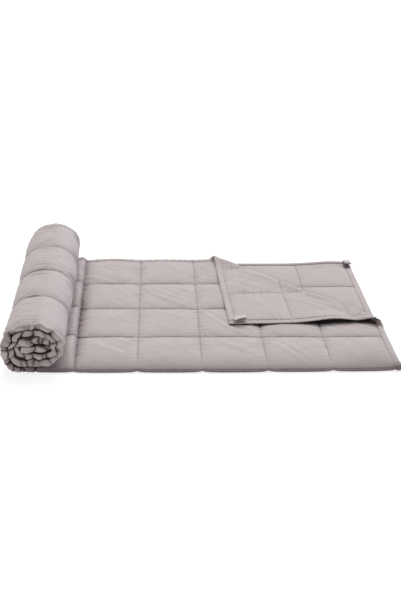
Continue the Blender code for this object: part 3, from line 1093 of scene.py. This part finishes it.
def makeBlanket(patches, material):
    mesh = flatSkins()
    flat = pointsOf(mesh)
    mesh.vertices.foreach_set("co", blanketPoints(patches, flat).ravel())
    # painted shade: how much darker each point's colour is made
    shade = mesh.attributes.new("painted_shade", "FLOAT", "POINT")
    shade.data.foreach_set("value", paintedShade(*flat.T))
    mesh.update()
    return finishPiece(mesh, flat[:, :2], material)


# Corner loops: each is a tape folded back on itself and sewn into the hem, on the inner face

loops = {
    "width": 0.015,
    "thickness": 0.0010,
    "gap": 0.0018,  # between its two layers at the bend
    "length": 0.023,
    "rows": 46,
    "columns": 10,
    "edge": 0.0002,  # how much thicker its woven edges are
    "cup": 0.0007,  # how much its middle stands over its edges
    "seat": 0.0008,
}
cornerLoops = {
    "corner_loop_far": {
        "side": -1,  # which ply's hem it's sewn into, - is the lower
        "inset": -0.0006,
        "seam": 0.0052,
        "rise": 0.0058,
        "puff": 0.0008,
        "twist": 0.10,
    },
    "corner_loop_turned": {
        "side": 1,
        "inset": 0.0010,
        "seam": 0.0095,
        "rise": 0.0052,
        "puff": 0.0016,
        "twist": -0.22,
    },
}


def tapeFaces(rows, columns):
    # both faces of a tape, the second one's points after the first's, and the edge round it
    count, wide = (rows + 1) * (columns + 1), columns + 1
    faces = []
    for i in range(rows):
        for j in range(columns):
            corners = (i * wide + j, i * wide + j + 1, (i + 1) * wide + j + 1, (i + 1) * wide + j)
            faces += [corners, tuple(count + corner for corner in reversed(corners))]
    rim = [(0, j) for j in range(columns)] + [(i, columns) for i in range(rows)]
    rim += [(rows, j) for j in range(columns, 0, -1)] + [(i, 0) for i in range(rows, 0, -1)]
    for k in range(len(rim)):
        here, after = (i * wide + j for i, j in (rim[k], rim[(k + 1) % len(rim)]))
        faces.append((after, here, count + here, count + after))
    return faces


def makeLoop(name, material):
    shape = cornerLoops[name]
    radius = (loops["gap"] + loops["thickness"]) / 2
    leg = loops["length"] - radius - loops["thickness"] / 2
    length = 2 * leg + math.pi * radius
    gone = np.repeat(np.linspace(0, length, loops["rows"] + 1), loops["columns"] + 1)
    across = np.tile(np.linspace(-1, 1, loops["columns"] + 1), loops["rows"] + 1)
    turn = np.clip((gone - leg) / radius, 0, math.pi)
    back = np.maximum(gone - leg - math.pi * radius, 0)
    reach = np.minimum(gone, leg) + radius * np.sin(turn) - back
    height = radius * (1 - np.cos(turn))
    height += shape["puff"] * np.sin(math.pi * np.clip(reach / leg, 0, 1)) * (turn / math.pi)
    height += shape["rise"] * (reach / loops["length"]) ** 1.5
    height += shape["twist"] * loops["width"] * across / 2 * (reach / loops["length"])
    height -= loops["cup"] * (across**2 - 0.3) * (0.3 + reach / loops["length"])
    half = loops["thickness"] / 2 + loops["edge"] / 2 * np.exp(-((1 - np.abs(across)) / 0.12) ** 2)
    s = shape["inset"] + loops["width"] * (across + 1) / 2
    outer = halfWidth - shape["seam"]
    lowest = thickness(s, outer - reach).max() / 2 + loops["seat"] + loops["thickness"]
    points = []
    for face in (1, -1):
        a = shape["side"] * (outer - (reach - face * half * np.sin(turn)))
        points.append(lay(s, a, -(lowest + height + face * half * np.cos(turn))))
    mesh = newMesh(name + "_tape", np.vstack(points), [], tapeFaces(loops["rows"], loops["columns"]))
    places = np.column_stack([gone, across * loops["width"] / 2])
    return finishPiece(mesh, np.vstack([places, places]), material)


# Stitching: a row of short thread capsules along every seam that shows

stitching = {
    "Stitch Length": 0.0030,
    "Stitch Pitch": 0.0042,
    "Thread Thickness": 0.00048,
    "Unevenness": 0.2,
    "Seed": 5,
}
threadLine = {"above": 0.00022, "step": 0.0018}  # its middle over the cloth, between its points


def seamLines(patches):
    points, edges, lines = [], [], []
    step = threadLine["step"]
    s = np.arange(hem, blanket["length"] - hem + step, step)
    a = np.arange(hem - halfWidth, halfWidth - hem + step, step)
    for column in range(blanket["pocketsAlong"] + 1):
        lines.append((np.full(len(a), hem + column * pocketAlong), a))
    for row in range(blanket["pocketsAcross"] + 1):
        lines.append((s, np.full(len(s), hem - halfWidth + row * pocketAcross)))
    for side in (1.0, -1.0):
        for s, a in lines:
            seen = shows(s, a, side) & ((np.abs(a) > 0.001) | (s < stripLength - 0.03))
            seen &= (np.ptp(s) > 0) | (s < hem + 4.5 * pocketAlong)
            flat = np.column_stack([s, a, np.full(len(s), side)])
            start = len(points)
            points += list(blanketPoints(patches, flat, threadLine["above"]))
            edges += [(start + k, start + k + 1) for k in range(len(s) - 1) if seen[k] and seen[k + 1]]
    return newMesh("seamLines", points, edges, [])


def stitchTree():
    tree = bpy.data.node_groups.new("runningStitch", "GeometryNodeTree")
    kinds = {"Lines": "Geometry", "Stitch Length": "Float", "Stitch Pitch": "Float"}
    kinds |= {"Thread Thickness": "Float", "Unevenness": "Float", "Seed": "Int", "Thread": "Material"}
    for name, kind in kinds.items():
        tree.interface.new_socket(name, in_out="INPUT", socket_type="NodeSocket" + kind)
    tree.interface.new_socket("Stitches", in_out="OUTPUT", socket_type="NodeSocketGeometry")
    given = addNode(tree, "NodeGroupInput").outputs
    curve = addNode(tree, "GeometryNodeMeshToCurve", {"Mesh": given["Lines"]}).outputs[0]
    spacing = {"Curve": curve, "Length": given["Stitch Pitch"]}
    spots = addNode(tree, "GeometryNodeCurveToPoints", spacing, mode="LENGTH").outputs
    capsule = addNode(tree, "GeometryNodeMeshUVSphere", {"Segments": 6, "Rings": 4, "Radius": 0.5})
    along = addNode(tree, "FunctionNodeAlignRotationToVector", {"Vector": spots["Tangent"]}, axis="Z")
    least = calculate(tree, "SUBTRACT", 1.0, given["Unevenness"])
    spread = {2: least, "Seed": given["Seed"]}
    uneven = addNode(tree, "FunctionNodeRandomValue", spread, data_type="FLOAT")
    longer = calculate(tree, "MULTIPLY", given["Stitch Length"], uneven.outputs[1])
    sides = {0: given["Thread Thickness"], 1: given["Thread Thickness"], 2: longer}
    size = addNode(tree, "ShaderNodeCombineXYZ", sides).outputs[0]
    places = {"Points": spots["Points"], "Instance": capsule.outputs["Mesh"], "Rotation": along.outputs[0]}
    placed = addNode(tree, "GeometryNodeInstanceOnPoints", {**places, "Scale": size}).outputs[0]
    real = addNode(tree, "GeometryNodeRealizeInstances", {0: placed}).outputs[0]
    look = {"Geometry": real, "Material": given["Thread"]}
    coloured = addNode(tree, "GeometryNodeSetMaterial", look)
    addNode(tree, "NodeGroupOutput", {0: coloured.outputs[0]})
    return tree


def makeStitches(patches, thread):
    lines = addObject("seamLines", seamLines(patches))
    tree = stitchTree()
    modifier = lines.modifiers.new("stitches", "NODES")
    modifier.node_group = tree
    values = {**stitching, "Thread": thread}
    for socket in tree.interface.items_tree:
        if socket.name in values:
            modifier[socket.identifier] = values[socket.name]
    graph = bpy.context.evaluated_depsgraph_get()
    mesh = bpy.data.meshes.new_from_object(lines.evaluated_get(graph))
    mesh.name = "quilting_stitches"
    mesh.shade_smooth()
    bpy.data.objects.remove(lines)
    printTriangles(mesh)
    return addObject(mesh.name, mesh)


# Materials

cotton = {
    "colour": "#bdb2b0",
    # the dark colour that painted shade mixes the cloth towards
    "paintedShadeColour": "#523f42",
    "thread": "#a89d9b",
    "tape": "#c9c2c1",
    # in mm
    "weavePitch": 0.55,  # between threads, coarser than the real 0.35
    "twillPitch": 1.1,  # between the tape's ribs
    "twillTurn": 32,  # degrees
    "napSize": 0.5,
    "slubLength": 14,
    "slubWidth": 0.09,  # as a share of its length
    "mottleSize": 30,
    "roughPatch": 9,
    "yarnSize": 1.2,
    "stitchShade": 2.5,
}


def bands(tree, vector, pitch, direction):
    # a wave texture's bands are 0.314 apart at scale 1
    inputs = {"Vector": vector, "Scale": 0.314 / (pitch * mm), "Distortion": 0.6}
    inputs |= {"Detail": 1, "Detail Scale": 0.4}
    return addNode(tree, "ShaderNodeTexWave", inputs, bands_direction=direction).outputs["Fac"]


def noise(tree, vector, size, detail=3):
    inputs = {"Vector": vector, "Scale": 1 / (size * mm), "Detail": detail}
    return addNode(tree, "ShaderNodeTexNoise", inputs).outputs["Fac"]


def stretch(tree, value, low, high):
    # noise stays near its middle, so this spreads it from low to high
    inputs = {0: value, "From Min": 0.3, "From Max": 0.7, "To Min": low, "To Max": high}
    return addNode(tree, "ShaderNodeMapRange", inputs).outputs[0]


def fleck(tree, vector, size, swing, detail=3):
    # from low to high, as shares of a colour
    return stretch(tree, noise(tree, vector, size, detail), *swing)


def mixed(tree, blend, share, under, over):
    inputs = {"Factor": share, "A": under, "B": over}
    return addNode(tree, "ShaderNodeMix", inputs, data_type="RGBA", blend_type=blend).outputs["Result"]


def dyed(tree, key, shade):
    return mixed(tree, "MULTIPLY", 1.0, hexToLinear(cotton[key]), shade)


def bumped(tree, height, depth, strength, under=None):
    inputs = {"Height": height, "Distance": depth * mm, "Strength": strength, **(under or {})}
    return addNode(tree, "ShaderNodeBump", inputs).outputs[0]


def clothPlace(tree, scale=(1, 1, 1), turn=0):
    # places on the flat cloth, stretched and turned
    place = addNode(tree, "ShaderNodeUVMap", uv_map="cloth").outputs[0]
    inputs = {"Vector": place, "Scale": scale, "Rotation": (0, 0, math.radians(turn))}
    return addNode(tree, "ShaderNodeMapping", inputs).outputs[0]


def brushedCotton():
    # brushed plain-weave cotton: matt, with a short nap
    material, tree, shader = newMaterial("brushedCotton")
    uv = clothPlace(tree)
    slubs = clothPlace(tree, scale=(1, cotton["slubWidth"], 1))
    brushing = fleck(tree, uv, cotton["mottleSize"], (0.96, 1.04), 4)
    yarn = fleck(tree, slubs, cotton["slubLength"] * cotton["slubWidth"], (0.972, 1.028), 2)
    napShade = fleck(tree, uv, cotton["napSize"] * 2, (0.965, 1.035), 2)
    shade = calculate(tree, "MULTIPLY", calculate(tree, "MULTIPLY", brushing, yarn), napShade)
    colour = dyed(tree, "colour", shade)
    # painted shade: where seams, pinches and gaps hold a shadow finer than the mesh, the colour is mixed
    # towards a dark shadow colour
    painted_shade = addNode(tree, "ShaderNodeAttribute", attribute_name="painted_shade").outputs["Fac"]
    over, under = (bands(tree, uv, cotton["weavePitch"], direction) for direction in "XY")
    threads = bumped(tree, calculate(tree, "MULTIPLY", over, under), 0.10, 0.5)
    inputs = {
        "Base Color": mixed(tree, "MIX", painted_shade, colour, hexToLinear(cotton["paintedShadeColour"])),
        "Normal": bumped(tree, noise(tree, uv, cotton["napSize"]), 0.16, 0.45, {"Normal": threads}),
        "Roughness": fleck(tree, uv, cotton["roughPatch"], (0.86, 1.0)),
        "Specular IOR Level": 0.2,
        "Sheen Weight": 0.25,
        "Sheen Roughness": 0.5,
    }
    setInputs(tree, shader, inputs)
    return material


def twillTape():
    # cotton twill tape: slanting ribs and a slight gloss on their tops
    material, tree, shader = newMaterial("cottonTwillTape")
    uv = clothPlace(tree)
    ribs = bands(tree, clothPlace(tree, turn=cotton["twillTurn"]), cotton["twillPitch"], "X")
    yarn = fleck(tree, uv, cotton["yarnSize"], (0.96, 1.04))
    shade = calculate(tree, "MULTIPLY", yarn, stretch(tree, ribs, 0.95, 1.02))
    inputs = {
        "Base Color": dyed(tree, "tape", shade),
        "Normal": bumped(tree, ribs, 0.18, 0.7),
        "Roughness": 0.78,
        "Specular IOR Level": 0.3,
        "Sheen Weight": 0.15,
    }
    setInputs(tree, shader, inputs)
    return material


def spunThread():
    # spun polyester sewing thread: a little glossier than the cloth
    material, tree, shader = newMaterial("spunPolyesterThread")
    place = addNode(tree, "ShaderNodeTexCoord").outputs["Object"]
    shade = fleck(tree, place, cotton["stitchShade"], (0.9, 1.08))
    inputs = {"Base Color": dyed(tree, "thread", shade), "Roughness": 0.6, "Specular IOR Level": 0.4}
    setInputs(tree, shader, inputs)
    return material


# Build

makeCamera()
makeStudio()
patches = simulatePockets()
quiltedBlanket = makeBlanket(patches, brushedCotton())
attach(quiltedBlanket, "root")
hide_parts("blanket")
tape = twillTape()
for node in cornerLoops:
    cornerLoop = makeLoop(node, tape)
    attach(cornerLoop, "root")
    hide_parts(node)
stitches = makeStitches(patches, spunThread())
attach(stitches, "root")
